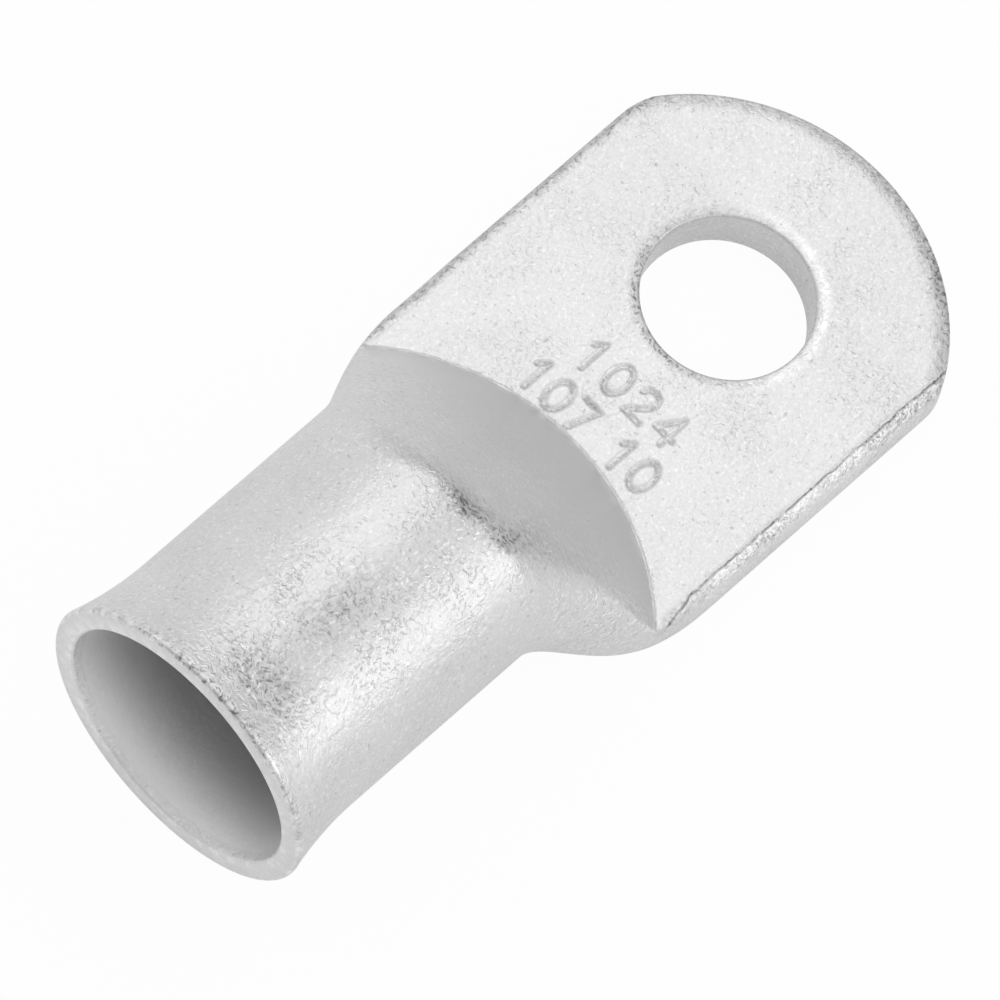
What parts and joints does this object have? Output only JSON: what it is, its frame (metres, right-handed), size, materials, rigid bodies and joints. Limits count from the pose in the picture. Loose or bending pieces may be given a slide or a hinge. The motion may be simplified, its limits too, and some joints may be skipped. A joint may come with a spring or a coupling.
{
  "type": "cable lug",
  "caption": "Tubular cable lug with a belled barrel that is crimped on a heavy stranded conductor and a flat round-tipped palm that bolts to a terminal stud.",
  "frame": {"origin": "centre of the stud hole on the underside of the palm", "axes": "+X from the belled mouth of the barrel towards the round tip of the palm, +Z out of the top of the palm"},
  "size_m": [0.0604, 0.0256, 0.0197],
  "materials": {
    "tinned_copper": "tin-plated copper, tumbled satin"
  },
  "bodies": {
    "root": {"cable_lug": "tinned_copper"}
  },
  "joints": []
}
